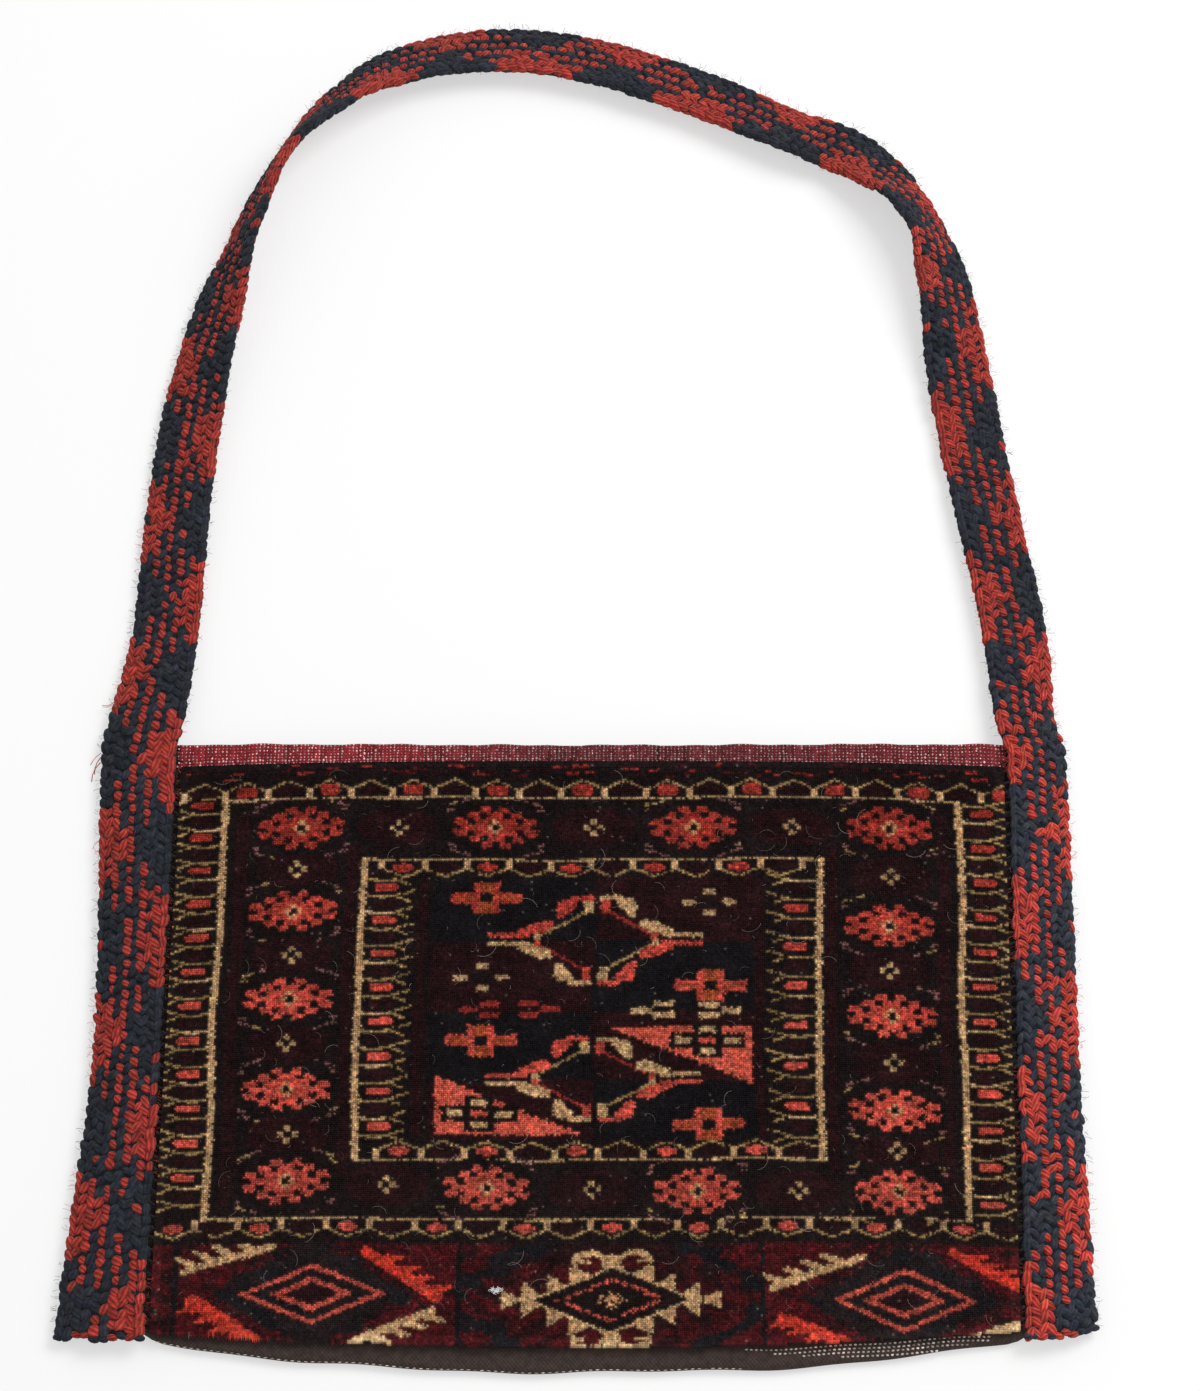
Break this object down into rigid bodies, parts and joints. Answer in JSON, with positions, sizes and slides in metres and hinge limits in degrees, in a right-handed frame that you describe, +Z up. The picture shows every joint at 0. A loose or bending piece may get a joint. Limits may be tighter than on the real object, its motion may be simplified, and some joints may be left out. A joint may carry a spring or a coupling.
{
  "type": "shoulder bag",
  "caption": "Flat woven wool bag with a knotted-pile front in a geometric pattern, a pocket open along the top, and a wide braided shoulder band sewn down both sides.",
  "frame": {"origin": "centre of the back's flat rest face, on the surface the bag lies on", "axes": "+Z up out of the front, +Y from the bottom fold to the mouth and the crown of the band's loop, +X to the right as the front is seen"},
  "size_m": [0.4008, 0.5981, 0.0278],
  "materials": {
    "brown_weave": "matt wool flat weave with pale warps",
    "red_weave": "matt weft-faced flat weave with pale warp dots",
    "dark_pile": "cut wool pile, soft lustre",
    "cream_pile": "cut wool pile, soft lustre",
    "red_pile": "cut wool pile, soft lustre",
    "braid": "coarse braided wool, red and navy",
    "thread": "sewing thread"
  },
  "bodies": {
    "root": {"woven_pouch": "brown_weave", "knotted_pile": "dark_pile", "mouth_flatweave": "red_weave", "outer_ladder_frame": "cream_pile", "inner_ladder_frame": "cream_pile", "rosette_01": "red_pile", "rosette_02": "red_pile", "rosette_03": "red_pile", "rosette_04": "red_pile", "rosette_05": "red_pile", "rosette_06": "red_pile", "rosette_07": "red_pile", "rosette_08": "red_pile", "rosette_09": "red_pile", "rosette_10": "red_pile", "rosette_11": "red_pile", "rosette_12": "red_pile", "rosette_13": "red_pile", "rosette_14": "red_pile", "medallion_upper_top_left": "red_pile", "medallion_upper_top_right": "cream_pile", "medallion_upper_low_left": "cream_pile", "medallion_upper_low_right": "red_pile", "medallion_lower_top_left": "red_pile", "medallion_lower_top_right": "cream_pile", "medallion_lower_low_left": "cream_pile", "medallion_lower_low_right": "red_pile", "cross_upper_left": "red_pile", "cross_upper_right": "red_pile", "cross_lower_left": "red_pile", "cross_lower_right": "red_pile", "half_diamond_right": "red_pile", "half_diamond_left": "red_pile", "skirt_figure": "cream_pile", "skirt_diamond_left_outer": "red_pile", "skirt_diamond_left_inner": "red_pile", "skirt_diamond_right_outer": "red_pile", "skirt_diamond_right_inner": "red_pile", "flame_left_top_outer": "cream_pile", "flame_left_top_inner": "red_pile", "flame_left_low_outer": "red_pile", "flame_left_low_inner": "cream_pile", "flame_right_top_outer": "red_pile", "flame_right_top_inner": "cream_pile", "flame_right_low_outer": "cream_pile", "flame_right_low_inner": "red_pile", "shoulder_strap": "braid", "seam_thread_left": "thread", "seam_thread_right": "thread"}
  },
  "joints": []
}
